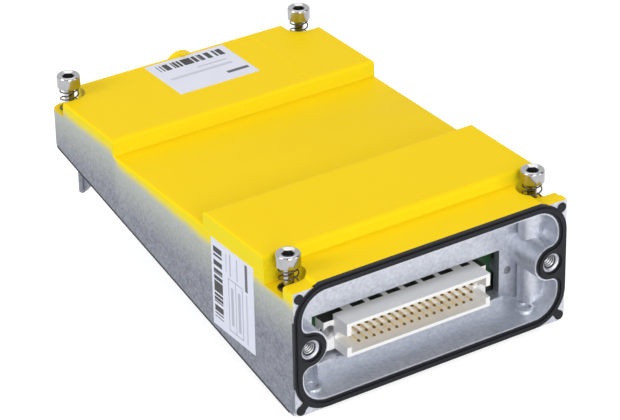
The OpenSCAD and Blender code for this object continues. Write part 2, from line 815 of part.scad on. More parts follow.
// Moulded shroud with flanges, end notches and a row of pockets that open to the back
module contact_shroud() {
    z0 = block_z - shroud_h / 2;
    z1 = block_z + shroud_h / 2;
    inner_x = shroud_x - shroud_end_wall;
    short_w = pocket_w * 0.65;
    color("gainsboro") placed() difference() {
        union() {
            translate([-shroud_x, shroud_y, z0])
                cube([2 * shroud_x, board_y - shroud_y, shroud_h]);
            translate([-flange_x, flange_y, z1 - flange_drop - flange_h])
                cube([2 * flange_x, board_y - flange_y, flange_h]);
        }
        // mating space inside the shroud
        translate([-inner_x, shroud_y - over, z0 + shroud_wall])
            cube([2 * inner_x, contact_floor_y - shroud_y + over,
                shroud_h - 2 * shroud_wall]);
        // keying notches in both end walls, back to the flanges
        both_sides() along_x(inner_x - over, shroud_x + over) polygon([
            [shroud_y - over, block_z - 2.3], [flange_y - 0.6, block_z - 2.2],
            [flange_y - 0.5, block_z - 1.4], [flange_y - 1.9, block_z + 0.7],
            [shroud_y - over, block_z + 1.6]]);
        for (i = [0 : pocket_n - 1])
            translate([(i - pocket_n / 2) * pocket_pitch + 0.34, pocket_y, z1 - pocket_h])
                cube([pocket_w, board_y - pocket_y + over, pocket_h + over]);
        // end pockets: one opens to the side, the other is short and shallow
        translate([-shroud_x - over, pocket_y, z1 - pocket_h])
            cube([short_w + 0.6 + over, board_y - pocket_y + over, pocket_h + over]);
        translate([shroud_x - 1.6 - short_w, pocket_y + 0.3, z1 - pocket_h / 2])
            cube([short_w, board_y - pocket_y + over, pocket_h + over]);
        // rivet holes in the flanges, sunk from the front
        both_sides() translate([rivet_x, flange_y, block_z]) rotate([-90, 0, 0]) {
            translate([0, 0, -eps]) cylinder(r = 1.35, h = board_y);
            translate([0, 0, -eps]) cylinder(r = 2.2, h = rivet_sink + eps);
        }
    }
}

module contact_places() {
    for (i = [0 : contact_n - 1], k = [-1 : 1])
        translate([(i - (contact_n - 1) / 2) * contact_pitch, 0,
            block_z + k * contact_pitch])
            children();
}

// One square contact with a tip coined to a wedge
module contact() {
    h = contact_t / 2;
    translate([-h, 0, 0]) along_x(0, contact_t) polygon([
        [tip_y, -h / 2.5], [tip_y + 0.7, -h], [board_y + board_t + 1.2, -h],
        [board_y + board_t + 1.2, h], [tip_y + 0.7, h], [tip_y, h / 2.5]]);
}

module contact_pins() {
    color("goldenrod") placed() contact_places() contact();
}

module shroud_rivets() {
    color("silver") placed() both_sides()
        translate([rivet_x, flange_y, block_z])
        rotate([-90, 0, 0]) {
            translate([0, 0, rivet_sink - 0.8]) cylinder(r = 1.85, h = 0.8);
            translate([0, 0, rivet_sink - 0.8])
                cylinder(r = 1.25, h = board_y - flange_y + board_t - rivet_sink + 1);
            translate([0, 0, board_y - flange_y + board_t])
                cylinder(r = 1.9, h = 0.8);
        }
}

// ---- boards ----

module link_places() {
    for (i = [0 : link_n - 1])
        translate([(i - (link_n - 1) / 2) * pin_pitch, 0, 0]) children();
}

link_z = contact_board_z1 - link_h / 2;
link_y = board_y + board_t + link_w / 2;

module contact_board() {
    color("seagreen") placed() difference() {
        translate([-contact_board_x, board_y, contact_board_z0])
            cube([2 * contact_board_x, board_t, contact_board_z1 - contact_board_z0]);
        contact_places() along_y(board_y - over, board_y + board_t + over) circle(0.47);
        contact_screw_places() along_y(board_y - over, board_y + board_t + over)
            circle(1.45);
        both_sides() translate([rivet_x, 0, block_z])
            along_y(board_y - over, board_y + board_t + over) circle(1.35);
        link_places() translate([0, 0, link_z])
            along_y(board_y - over, board_y + board_t + over) circle(pin_hole_r);
    }
}

module contact_board_screws() {
    color("silver") placed() contact_screw_places() rotate([-90, 0, 0]) {
        translate([0, 0, bay_d + 0.1])
            cylinder(r = 1.22, h = board_y - bay_d + board_t);
        translate([0, 0, board_y + board_t]) difference() {
            cylinder(r = 2.2, h = 1.6);
            translate([0, 0, 0.8]) cylinder(r = 1, h = 1, $fn = 6);
        }
    }
}

module board_link() {
    color("dimgray") placed() translate([-link_n * pin_pitch / 2 - 0.4,
        board_y + board_t, contact_board_z1 - link_h])
        cube([link_n * pin_pitch + 0.8, link_w, link_h + board_step]);
}

module board_link_pins() {
    color("goldenrod") placed() link_places() {
        translate([-pin_t / 2, board_y - 1, link_z - pin_t / 2])
            cube([pin_t, link_y - board_y + 1 + pin_t / 2, pin_t]);
        translate([-pin_t / 2, link_y - pin_t / 2, link_z - pin_t / 2])
            cube([pin_t, pin_t, main_board_z + board_t + 1 - link_z]);
    }
}

module main_board() {
    color("seagreen") placed() difference() {
        translate([-main_board_x, main_board_y0, main_board_z])
            cube([2 * main_board_x, main_board_y1 - main_board_y0, board_t]);
        link_places() translate([0, link_y, main_board_z - over])
            cylinder(r = pin_hole_r, h = board_t + 2 * over);
        main_screw_places() translate([0, 0, main_board_z - over])
            cylinder(r = 1.45, h = board_t + 2 * over);
    }
}

module main_board_screws() {
    color("silver") placed() main_screw_places()
        translate([0, 0, main_board_z]) {
            translate([0, 0, -1.4]) cylinder(r = 2.4, h = 1.4);
            translate([0, 0, -eps]) cylinder(r = 1.2, h = board_t + 2);
        }
}

// Flat package with two rows of legs, hanging under the main board
module chip(x, y, l, w) {
    n = floor(l / leg_pitch);
    leg_h = chip_lift + chip_h * 0.6;
    translate([x - l / 2, y - w / 2, main_board_z - chip_lift - chip_h])
        cube([l, w, chip_h]);
    for (i = [0 : n - 1])
        translate([x + (i - (n - 1) / 2) * leg_pitch - leg_w / 2, y - w / 2 - leg_l,
            main_board_z - leg_h])
            difference() {
                cube([leg_w, w + 2 * leg_l, leg_h]);
                translate([-over, leg_l + 0.1, -over])
                    cube([leg_w + 2 * over, w - 0.2, leg_h + 2 * over]);
            }
}

module processor_chip() {
    color("dimgray") placed() chip(0, processor_y, processor_l, processor_w);
}

module driver_chips() {
    color("dimgray") placed()
        for (x = [-driver_x, driver_x], y = [driver_y, driver_y + driver_w + parts_gap])
            chip(x, y, driver_l, driver_w);
}

module filter_capacitors() {
    color("steelblue") placed() for (i = [-1.5 : 1.5])
        translate([i * capacitor_pitch, capacitor_y, main_board_z - capacitor_h]) {
            cylinder(r = capacitor_r, h = capacitor_h);
            translate([0, 0, -0.4]) cylinder(r = capacitor_r - 0.6, h = 0.5);
        }
}

module choke() {
    color("peru") placed() translate([-choke_x, choke_y, main_board_z - choke_h])
        rotate_extrude() translate([choke_bore_r, 0]) square([choke_r - choke_bore_r, choke_h]);
}

// ---- socket towards the scanner head ----

module head_socket() {
    color("dimgray") placed() difference() {
        translate([-socket_x, socket_y - socket_w / 2, socket_z0])
            cube([2 * socket_x, socket_w, main_board_z - socket_z0]);
        translate([-socket_x + socket_wall, socket_y - socket_w / 2 + socket_wall,
            socket_z0 - over])
            cube([2 * (socket_x - socket_wall), socket_w - 2 * socket_wall,
                socket_mouth + over]);
    }
}

module head_socket_contacts() {
    color("goldenrod") placed() for (i = [0 : socket_n - 1], s = [-0.5, 0.5])
        translate([(i - (socket_n - 1) / 2) * pin_pitch - pin_t / 2,
            socket_y + s * pin_pitch - pin_t / 2, socket_z0 + 1.4])
            cube([pin_t, pin_t, socket_mouth - 1.4]);
}

// ---- captive screws ----

// Screw hanging from its raised head; floor_z is its pocket's floor
module captive_screw(x, y, floor_z) {
    seat_z = floor_z + screw_travel;
    tip_z = under_z(y) + tip_clear;
    ring_z = floor_z - ring_drop - ring_t;
    color("silver") placed() translate([x, y, 0]) difference() {
        union() {
            translate([0, 0, seat_z]) cylinder(r1 = head_r - 0.3, r2 = head_r, h = 0.3);
            translate([0, 0, seat_z + 0.3]) cylinder(r = head_r, h = head_h - 0.8);
            translate([0, 0, seat_z + head_h - 0.5])
                cylinder(r1 = head_r, r2 = head_r - 0.5, h = 0.5);
            translate([0, 0, tip_z + thread_l - eps])
                cylinder(r = neck_r, h = seat_z - tip_z - thread_l + 2 * eps);
            translate([0, 0, tip_z + 0.5]) cylinder(r = thread_r, h = thread_l - 0.5);
            translate([0, 0, tip_z]) cylinder(r1 = thread_r - 0.5, r2 = thread_r,
                h = 0.5 + eps);
        }
        translate([0, 0, seat_z + head_h / 2])
            cylinder(r = hex_af / sqrt(3), h = head_h, $fn = 6);
        translate([0, 0, ring_z - 0.05]) difference() {
            cylinder(r = neck_r + 0.05, h = ring_t + 0.1);
            translate([0, 0, -over])
                cylinder(r = neck_r - groove_d, h = ring_t + 2 * over);
        }
    }
}

// Snap ring in the neck's groove; it stops the screw under the web
module captive_ring(x, y, floor_z) {
    color("dimgray") placed() translate([x, y, floor_z - ring_drop - ring_t])
        difference() {
            cylinder(r = ring_r, h = ring_t);
            translate([0, 0, -over])
                cylinder(r = neck_r - groove_d + 0.05, h = ring_t + 2 * over);
        }
}

// Centre line of a spring's wire; the turns close up towards both ends
function coil(t, turns, h) =
    let (u = t / turns, a = 360 * t, r = spring_r - spring_wire / 2)
    [r * cos(a), r * sin(a),
        spring_wire / 2 + (h - spring_wire) * (u - 0.09 * sin(360 * u))];

// Open coil of round wire, swept along its centre line
module captive_spring(x, y, floor_z, start) {
    sides = 6;
    steps = round(spring_turns * 16);
    h = seat_d + screw_travel - 0.04;
    wire_r = spring_wire / 2;
    points = [for (i = [0 : steps], j = [0 : sides - 1])
        let (c = coil(spring_turns * i / steps, spring_turns, h),
            a = 360 * spring_turns * i / steps, b = 360 * j / sides)
        c + wire_r * [cos(b) * cos(a), cos(b) * sin(a), sin(b)]];
    walls = [for (i = [0 : steps - 1], j = [0 : sides - 1])
        let (k = (j + 1) % sides)
        [i * sides + j, (i + 1) * sides + j, (i + 1) * sides + k, i * sides + k]];
    first = [for (j = [0 : sides - 1]) j];
    last = [for (j = [sides - 1 : -1 : 0]) steps * sides + j];
    color("gray") placed() translate([x, y, floor_z - seat_d + 0.02])
        rotate([0, 0, start]) polyhedron(points, concat([first], walls, [last]));
}

module front_left_screw() { captive_screw(-screw_x, screw_front, front_floor_z); }
module front_right_screw() { captive_screw(screw_x, screw_front, front_floor_z); }
module rear_left_screw() { captive_screw(-screw_x, screw_rear_y, rear_floor_z); }
module rear_right_screw() { captive_screw(screw_x, screw_rear_y, rear_floor_z); }
module front_left_ring() { captive_ring(-screw_x, screw_front, front_floor_z); }
module front_right_ring() { captive_ring(screw_x, screw_front, front_floor_z); }
module rear_left_ring() { captive_ring(-screw_x, screw_rear_y, rear_floor_z); }
module rear_right_ring() { captive_ring(screw_x, screw_rear_y, rear_floor_z); }
module front_left_spring() { captive_spring(-screw_x, screw_front, front_floor_z, 0); }
module front_right_spring() { captive_spring(screw_x, screw_front, front_floor_z, 0); }
module rear_left_spring() { captive_spring(-screw_x, screw_rear_y, rear_floor_z, 0); }
module rear_right_spring() { captive_spring(screw_x, screw_rear_y, rear_floor_z, 0); }

// ---- labels ----

module top_label() {
    color("white") placed()
        translate([-label_l / 2, body_l - top_label_rear - label_w,
            rear_block_z - panel_d])
        cube([label_l, label_w, label_t]);
}

module side_label() {
    color("white") placed()
        translate([-half_w - label_t, side_label_front, side_label_z])
        cube([label_t, label_w, label_l]);
}

housing();
front_gasket();
base_seal();
base_plate();
base_plate_screws();
contact_shroud();
contact_pins();
contact_board();
contact_board_screws();
shroud_rivets();
board_link();
board_link_pins();
main_board();
main_board_screws();
processor_chip();
driver_chips();
filter_capacitors();
choke();
head_socket();
head_socket_contacts();
front_left_screw();
front_right_screw();
rear_left_screw();
rear_right_screw();
front_left_spring();
front_right_spring();
rear_left_spring();
rear_right_spring();
front_left_ring();
front_right_ring();
rear_left_ring();
rear_right_ring();
top_label();
side_label();
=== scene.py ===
"""Look of the input and output module: its finishes, the pieces that need more
form than their solids have, the studio and the camera."""

import math

import bmesh
import bpy
import numpy as np
from mathutils import Matrix, Vector


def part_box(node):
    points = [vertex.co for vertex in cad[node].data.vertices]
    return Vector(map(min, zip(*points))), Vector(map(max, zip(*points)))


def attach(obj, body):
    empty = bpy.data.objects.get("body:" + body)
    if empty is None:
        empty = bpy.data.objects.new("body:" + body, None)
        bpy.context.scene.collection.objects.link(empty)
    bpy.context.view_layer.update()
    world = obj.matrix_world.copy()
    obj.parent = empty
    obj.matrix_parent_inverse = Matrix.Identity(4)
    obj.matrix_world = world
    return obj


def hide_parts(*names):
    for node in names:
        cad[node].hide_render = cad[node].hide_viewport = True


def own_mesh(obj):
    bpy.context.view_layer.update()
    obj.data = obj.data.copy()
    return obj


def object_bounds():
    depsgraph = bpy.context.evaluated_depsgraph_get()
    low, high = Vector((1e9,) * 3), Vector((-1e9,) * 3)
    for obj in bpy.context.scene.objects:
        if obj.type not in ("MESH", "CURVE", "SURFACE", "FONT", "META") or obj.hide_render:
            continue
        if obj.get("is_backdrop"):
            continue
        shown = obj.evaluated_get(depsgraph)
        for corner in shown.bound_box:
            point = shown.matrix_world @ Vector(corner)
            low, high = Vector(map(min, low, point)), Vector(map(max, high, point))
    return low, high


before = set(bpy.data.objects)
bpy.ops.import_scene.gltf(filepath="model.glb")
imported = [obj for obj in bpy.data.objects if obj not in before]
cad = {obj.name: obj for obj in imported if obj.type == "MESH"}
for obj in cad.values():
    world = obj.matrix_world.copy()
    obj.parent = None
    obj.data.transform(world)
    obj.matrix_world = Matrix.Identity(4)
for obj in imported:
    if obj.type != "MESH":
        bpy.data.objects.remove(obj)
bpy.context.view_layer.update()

# Camera: a long lens that looks down on the plug bay from the left. Its turn is
# given by the directions of its right-hand side, its top and its back.
MM = 0.001
scene = bpy.context.scene
stand = Vector((-391.86, -612.36, 423.15)) * MM
azimuth, elevation, roll = math.radians(32.824), math.radians(29.033), math.radians(-1.109)
ahead = Vector((math.sin(azimuth) * math.cos(elevation),
                math.cos(azimuth) * math.cos(elevation), -math.sin(elevation)))
level = Vector((math.cos(azimuth), -math.sin(azimuth), 0))
above = level.cross(ahead)
right = math.cos(roll) * level + math.sin(roll) * above
top = -math.sin(roll) * level + math.cos(roll) * above
camera = bpy.data.objects.new("camera", bpy.data.cameras.new("camera"))
camera.matrix_world = Matrix.Translation(stand) @ Matrix(
    (right, top, -ahead)).transposed().to_4x4()
camera.data.sensor_width = 36
camera.data.lens = 166.06
camera.data.clip_start = 0.05
camera.data.clip_end = 30
scene.collection.objects.link(camera)
scene.camera = camera

# Studio: a near-white paper floor just under the foot, an even white surround, and
# soft panels, of which the low one shines into the plug bay. Two cards of dark felt,
# out of view, give the bright metal its darks.
scene.view_settings.view_transform = "Standard"
scene.view_settings.look = "None"


def colour(code):
    """Linear colour, with alpha 1, of an sRGB hex code."""
    parts = [int(code[i:i + 2], 16) / 255 for i in (0, 2, 4)]
    return [c / 12.92 if c <= 0.04045 else ((c + 0.055) / 1.055) ** 2.4 for c in parts] + [1]


def add(tree, kind, inputs=None, **fields):
    """Adds a shader node with its fields. Each input is given a plain value, another
    node's socket, or a node, whose first output is then linked."""
    node = tree.nodes.new("ShaderNode" + kind)
    for name, value in fields.items():
        setattr(node, name, value)
    for name, value in (inputs or {}).items():
        if isinstance(value, bpy.types.Node):
            value = value.outputs[0]
        if isinstance(value, bpy.types.NodeSocket):
            tree.links.new(value, node.inputs[name])
        else:
            node.inputs[name].default_value = value
    return node


def seen_rays(tree):
    """The largest of three marks: 1 for a ray that comes from the eye, off a shine or
    through a glass, and 0 for one that only lights."""
    ray = add(tree, "LightPath").outputs
    seen = add(tree, "Math", {0: ray["Is Camera Ray"], 1: ray["Is Glossy Ray"]},
               operation="MAXIMUM")
    return add(tree, "Math", {0: seen, 1: ray["Is Transmission Ray"]}, operation="MAXIMUM")


# the eye and bright metal see the surround at full strength, as they do the floor
lighting_strength = 0.515
world = bpy.data.worlds.new("surround")
scene.world = world
world.use_nodes = True
tree = world.node_tree
strength = add(tree, "MapRange", {"Value": seen_rays(tree), "To Min": lighting_strength,
                                  "To Max": 1})
tree.links.new(strength.outputs[0], tree.nodes["Background"].inputs["Strength"])
tree.nodes["Background"].inputs["Color"].default_value = colour("fdfefe")

# each panel's name, place and width in metres, power in watts and tint
aim = Vector((0, 0, 0.02))
for name, place, width, power, tint in (
        ("panel_top", (0.1, 0.25, 0.9), 0.7, 2.2, "fffaf2"),
        ("panel_front", (-0.25, -1.15, 0.7), 0.6, 4.7, "fdfcfa"),
        ("panel_bay", (-0.4, -1.1, 0.24), 0.35, 3.7, "fdfaf6"),
        ("panel_left", (-1.2, 0.1, 0.6), 0.6, 8.0, "f2f5ff"),
        ("panel_right", (0.7, -1.0, 0.3), 0.4, 1.8, "fdfcfa")):
    light = bpy.data.lights.new(name, "AREA")
    light.shape = "SQUARE"
    light.size = width
    light.energy = power
    light.color = colour(tint)[:3]
    panel = bpy.data.objects.new(name, light)
    panel.location = place
    panel.rotation_mode = "QUATERNION"
    panel.rotation_quaternion = (aim - Vector(place)).to_track_quat("-Z", "Y")
    scene.collection.objects.link(panel)

# the floor and the upright cards, each by its corners in metres
reach, floor_z = 6, -0.0002
for name, corners in (
        ("floor", [(-reach, -reach, floor_z), (reach, -reach, floor_z),
                   (reach, reach, floor_z), (-reach, reach, floor_z)]),
        ("card_left", [(-0.9, -0.9, 0.1), (-0.7, -1.1, 0.1),
                       (-0.7, -1.1, 1.2), (-0.9, -0.9, 1.2)]),
        ("card_right", [(0.75, -0.55, 0.1), (0.85, -0.2, 0.1),
                        (0.85, -0.2, 0.9), (0.75, -0.55, 0.9)])):
    sheet = bpy.data.objects.new(name, bpy.data.meshes.new(name))
    sheet.data.from_pydata(corners, [], [(0, 1, 2, 3)])
    scene.collection.objects.link(sheet)
    sheet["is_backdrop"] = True

# paper: matt white card, pressed smooth, which takes a soft shadow and has no sheen.
# Its clouds are 17 mm across, so there are 60 in a metre.
paper = bpy.data.materials.new("paper")
paper.use_nodes = True
tree = paper.node_tree
shader = tree.nodes["Principled BSDF"]
clouds = add(tree, "TexNoise", {"Vector": add(tree, "TexCoord").outputs["Object"],
                                "Scale": 60, "Detail": 3})
shade = add(tree, "MixRGB", {"Fac": clouds, "Color1": colour("c2c2c2"),
                             "Color2": colour("c8c8c8")})
glow = add(tree, "Math", {0: seen_rays(tree), 1: 0.68}, operation="MULTIPLY")
tree.links.new(shade.outputs[0], shader.inputs["Base Color"])
tree.links.new(glow.outputs[0], shader.inputs["Emission Strength"])
shader.inputs["Emission Color"].default_value = colour("ffffff")
shader.inputs["Roughness"].default_value = 0.9
shader.inputs["Specular IOR Level"].default_value = 0.1
bpy.data.objects["floor"].data.materials.append(paper)

# felt: pressed dark wool, which bright metal shows as a soft dark edge
felt = bpy.data.materials.new("felt")
felt.use_nodes = True
felt.node_tree.nodes["Principled BSDF"].inputs["Base Color"].default_value = colour("2a2a2c")
for name in ("card_left", "card_right"):
    bpy.data.objects[name].data.materials.append(felt)

# Housing: one aluminium die casting, sprayed yellow from above. The coat covers the
# whole top and thins out down the outer walls, which are blasted bare metal below; the
# bay and the front faces were masked. The cast edges are softly rounded.
half_w, half_l = 45.5, 66.25     # mm from the middle to the side and front walls
length = 2 * half_l
screw_x = 40.6                   # mm from the middle to a corner screw's axis
pockets = ((9.6, 34.9), (128.6, 39.3))    # mm: a screw's axis from the front, its floor
pocket_r = 4.8                   # reaches 0.1 mm past a pocket's round wall
open_side_x, open_side_r = 41, 4.9        # where a pocket is open to the side
bay_depth, bay_x, bay_top = 12.7, 42.9, 36.9
lowest_step = 36.5               # mm, just under the lowest part of the stepped top


def softened(node, name, width, segments=2, angle=28):
    """Bare copy of a node's mesh: doubles merged, flat faces joined, and each edge that
    turns by more than the angle replaced by a rounded strip of the given width in mm."""
    mesh = cad[node].data.copy()
    piece = bpy.data.objects.new(name, mesh)
    scene.collection.objects.link(piece)
    work = bmesh.new()
    work.from_mesh(mesh)
    bmesh.ops.remove_doubles(work, verts=work.verts, dist=1e-6)
    bmesh.ops.dissolve_limit(work, angle_limit=math.radians(0.5), verts=work.verts,
                             edges=work.edges, delimit={"NORMAL"})
    work.to_mesh(mesh)
    work.free()
    mesh.shade_smooth()
    mesh.materials.clear()
    bevel = piece.modifiers.new("soft_edges", "BEVEL")
    bevel.width = width * MM
    bevel.segments = segments
    bevel.limit_method = "ANGLE"
    bevel.angle_limit = math.radians(angle)
    bevel.use_clamp_overlap = True
    bevel.harden_normals = True
    bevel.miter_outer = "MITER_ARC"
    piece.modifiers.new("flat_faces_stay_flat", "WEIGHTED_NORMAL").keep_sharp = True
    return piece


def face_values(mesh, field):
    """The x, y and z of every face's centre or normal, as three arrays."""
    values = np.empty(len(mesh.polygons) * 3)
    mesh.polygons.foreach_get(field, values)
    return values.reshape(-1, 3).T


housing = softened("housing", "cast_housing", width=0.22)
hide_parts("housing")
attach(housing, "module")

# which faces took the full coat (1), which were masked (-1), and the outer walls (0)
x, y, z = face_values(housing.data, "center") / MM
back, side = y + half_l, np.abs(x)
outward = face_values(housing.data, "normal")
pocket = np.zeros(len(x), dtype=bool)
for screw_y, floor_height in pockets:
    round_screw = np.hypot(side - screw_x, back - screw_y) < pocket_r
    beside = (side > open_side_x) & (np.abs(back - screw_y) < open_side_r)
    pocket |= (round_screw | beside) & (z > floor_height - 0.4)
pocket &= (outward[2] > -0.3) & (side < half_w - 0.1) & (back < length - 0.1)
sprayed = (z > lowest_step) & (side < half_w - 0.2) & (back < length - 0.2) | pocket
bay = (back < bay_depth) & (side < bay_x) & (z < bay_top) & ~pocket
front = (outward[1] < -0.6) & (back < 1.5)
mask = housing.data.attributes.new("coat_mask", "FLOAT", "FACE")
mask.data.foreach_set("value", np.where(bay | front, -1.0, np.where(sprayed, 1.0, 0.0)))

# powder-coated casting: baked polyester powder on die-cast aluminium, an even and nearly
# matt yellow; where it ends, blasted metal gives a dull grey with fine bright grains. The
# real grains are a few tenths of a millimetre, and are drawn at 0.9 mm to show.
casting = bpy.data.materials.new("powder_coated_casting")
casting.use_nodes = True
tree = casting.node_tree
shader = tree.nodes["Principled BSDF"]
where = add(tree, "TexCoord").outputs
axes = add(tree, "SeparateXYZ", {"Vector": where["Object"]}).outputs
faced = add(tree, "Attribute", attribute_name="coat_mask").outputs["Fac"]
cloud = add(tree, "TexNoise", {"Vector": where["Object"], "Scale": 1 / (9 * MM), "Detail": 5,
                               "Roughness": 0.65})
speck = add(tree, "TexNoise", {"Vector": where["Object"], "Scale": 1 / (0.9 * MM), "Detail": 3,
                               "Roughness": 0.7})
# down the walls the coat fades out over 3.6 mm, below a line that climbs from 36.2 to
# 38.4 mm along the valley and stands 3.4 mm higher round the rear block; the spray's
# drift moves the line by up to a millimetre
valley, line = (45.2, 94.6), (36.2, 38.4)
block_front, line_step = (91, 97), 3.4
climb = add(tree, "MapRange", {"Value": axes["Y"], "From Min": (valley[0] - half_l) * MM,
                               "From Max": (valley[1] - half_l) * MM,
                               "To Min": line[0] * MM, "To Max": line[1] * MM})
block = add(tree, "MapRange", {"Value": axes["Y"], "From Min": (block_front[0] - half_l) * MM,
                               "From Max": (block_front[1] - half_l) * MM,
                               "To Max": line_step * MM}, interpolation_type="SMOOTHSTEP")
edge = add(tree, "Math", {0: climb, 1: block}, operation="ADD")
drift = add(tree, "Math", {0: cloud, 1: speck}, operation="ADD")
edge = add(tree, "Math", {0: drift, 1: 2 * MM, 2: edge}, operation="MULTIPLY_ADD")
below = add(tree, "Math", {0: edge, 1: axes["Z"]}, operation="SUBTRACT")
faded = add(tree, "MapRange", {"Value": below, "From Min": 1.6 * MM, "From Max": 5.2 * MM,
                               "To Min": 1, "To Max": 0}, interpolation_type="SMOOTHSTEP")
coat = add(tree, "Math", {0: faded, 1: faced}, operation="ADD", use_clamp=True)
in_bay = add(tree, "Math", {0: faced, 1: -1}, operation="MULTIPLY", use_clamp=True)

# the blasted walls, with the spray's pale dust thinning out over 15 mm below the coat
blasted = add(tree, "MixRGB", {"Fac": cloud, "Color1": colour("5b5f68"),
                               "Color2": colour("7f838d")})
grains = add(tree, "MapRange", {"Value": speck, "From Min": 0.36, "From Max": 0.68})
blasted = add(tree, "MixRGB", {"Fac": grains, "Color1": blasted, "Color2": colour("9396a0")})
dust = add(tree, "MapRange", {"Value": below, "From Min": 2 * MM, "From Max": 17 * MM,
                              "To Min": 0.65, "To Max": 0})
dusted = add(tree, "MixRGB", {"Fac": dust, "Color1": blasted, "Color2": colour("c3c9b7")})
# the masked bay stays as it was cast, paler and with flow marks 1.2 mm across
flow = add(tree, "TexNoise", {"Vector": where["Object"], "Scale": 1 / (1.2 * MM), "Detail": 6,
                              "Roughness": 0.75})
marks = add(tree, "MapRange", {"Value": flow, "From Min": 0.2, "From Max": 0.8})
as_cast = add(tree, "MixRGB", {"Fac": marks, "Color1": colour("a6aab5"),
                               "Color2": colour("dfe2eb")})
bare = add(tree, "MixRGB", {"Fac": in_bay, "Color1": dusted, "Color2": as_cast})
# on upright faces the yellow is paler and a little greener: a painted sheen, for the whitish
# light that these faces catch
yellow = add(tree, "MixRGB", {"Fac": cloud, "Color1": colour("efcc10"),
                              "Color2": colour("f2d012")})
upward = add(tree, "SeparateXYZ", {"Vector": where["Normal"]}).outputs["Z"]
upright = add(tree, "MapRange", {"Value": upward, "From Min": 0.2, "From Max": 0.9,
                                 "To Min": 1, "To Max": 0})
yellow = add(tree, "MixRGB", {"Fac": upright, "Color1": yellow, "Color2": colour("ebd61c")})
surface = add(tree, "MixRGB", {"Fac": coat, "Color1": bare, "Color2": yellow})

# bare metal's relief is drawn 0.2 mm high to show, and the coat's orange peel is 2 mm
# across and 0.04 mm high
peel = add(tree, "TexNoise", {"Vector": where["Object"], "Scale": 1 / (2 * MM), "Detail": 2})
sand = add(tree, "MixRGB", {"Fac": in_bay, "Color1": speck, "Color2": flow})
relief = add(tree, "MixRGB", {"Fac": coat, "Color1": sand, "Color2": peel})
height = add(tree, "Math", {0: coat, 1: -0.16 * MM, 2: 0.2 * MM}, operation="MULTIPLY_ADD")
metal = add(tree, "Math", {0: in_bay, 1: 0.25, 2: 0.5}, operation="MULTIPLY_ADD")
for name, node in (
        ("Base Color", surface),
        ("Metallic", add(tree, "Math", {0: metal, 1: coat}, operation="SUBTRACT",
                         use_clamp=True)),
        ("Roughness", add(tree, "Math", {0: flow, 1: 0.3, 2: 0.22}, operation="MULTIPLY_ADD")),
        ("Normal", add(tree, "Bump", {"Height": relief, "Distance": height,
                                      "Strength": 0.5}))):
    tree.links.new(node.outputs[0], shader.inputs[name])
shader.inputs["Specular IOR Level"].default_value = 0.045
housing.data.materials.append(casting)

# Front gasket: soft black rubber moulded in one ring, with a raised bead that runs
# round the bay and both threads. It is stuck in its seat. The base seal, a flat strip
# round the underside's edge, is of the same rubber.


def finish(name, base, other, grain, roughness, metallic=0.0, relief=0.02):
    """Material whose colour drifts between two tones at the grain's size in mm, with
    its roughness following within 15 %, and with a relief of the given height in mm
    at a sixth of the grain's size. The real grain of most of these surfaces is finer
    than the 0.3 mm that a render shows, so it is drawn at 0.8 to 6 mm."""
    material = bpy.data.materials.new(name)
    material.use_nodes = True
    tree = material.node_tree
    shader = tree.nodes["Principled BSDF"]
    where = add(tree, "TexCoord").outputs["Object"]
    noise = add(tree, "TexNoise", {"Vector": where, "Scale": 1 / (grain * MM), "Detail": 4})
    fine = add(tree, "TexNoise", {"Vector": where, "Scale": 6 / (grain * MM), "Detail": 2})
    for socket, node in (
            ("Base Color", add(tree, "MixRGB", {"Fac": noise, "Color1": colour(base),
                                                "Color2": colour(other)})),
            ("Roughness", add(tree, "MapRange", {"Value": noise, "To Min": roughness * 0.85,
                                                 "To Max": roughness * 1.15})),
            ("Normal", add(tree, "Bump", {"Height": fine, "Distance": relief * MM,
                                          "Strength": 0.5}))):
        tree.links.new(node.outputs[0], shader.inputs[socket])
    shader.inputs["Metallic"].default_value = metallic
    return material


# moulded rubber: near black and faintly blue, with a matt skin and a soft broad sheen
rubber = finish("moulded_rubber", "0e1016", "15171e", grain=3, roughness=0.5)
rubber.node_tree.nodes["Principled BSDF"].inputs["Specular IOR Level"].default_value = 0.25

gasket = softened("front_gasket", "bay_gasket", width=0.2, segments=3, angle=40)
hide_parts("front_gasket")
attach(gasket, "module")
gasket.data.materials.append(rubber)
cad["base_seal"].data.materials[0] = rubber

# Contact block: pale glass-filled polyester, moulded in one piece and held by two
# bright rivets. Its contacts are gold over nickel, pressed through it, with coined tips.
pocket_front, pocket_depth = 13.55, 1.8   # mm: a small pocket's start and depth
end_wall, outer_skin = 0.6, 0.02
tip_y = 8.8                      # mm from the front to where a contact's tip ends
shroud = softened("contact_shroud", "plug_shroud", width=0.12, angle=40)
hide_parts("contact_shroud")
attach(shroud, "module")

# moulded polyester: off-white and half glossy, with the glass's faint mottle. The second finish
# is painted shade: the same plastic coloured dark in the small pockets of the rear edge, where no
# light comes.
shroud.data.materials.append(finish("moulded_polyester", "eeeeee", "f9f9f8", grain=4,
                                    roughness=0.42))
shroud.data.materials.append(finish("polyester_in_shade", "30302e", "444440", grain=4,
                                    roughness=0.6))
# faces inside the small pockets take the dark second finish, painted shade
x, y, z = face_values(shroud.data, "center") / MM
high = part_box("contact_shroud")[1] / MM
in_pocket = (y + half_l > pocket_front) & (y < high.y - outer_skin)
in_pocket &= (z > high.z - pocket_depth) & (z < high.z - outer_skin)
in_pocket &= np.abs(x) < high.x - end_wall
shroud.data.polygons.foreach_set("material_index", in_pocket.astype(np.int32))

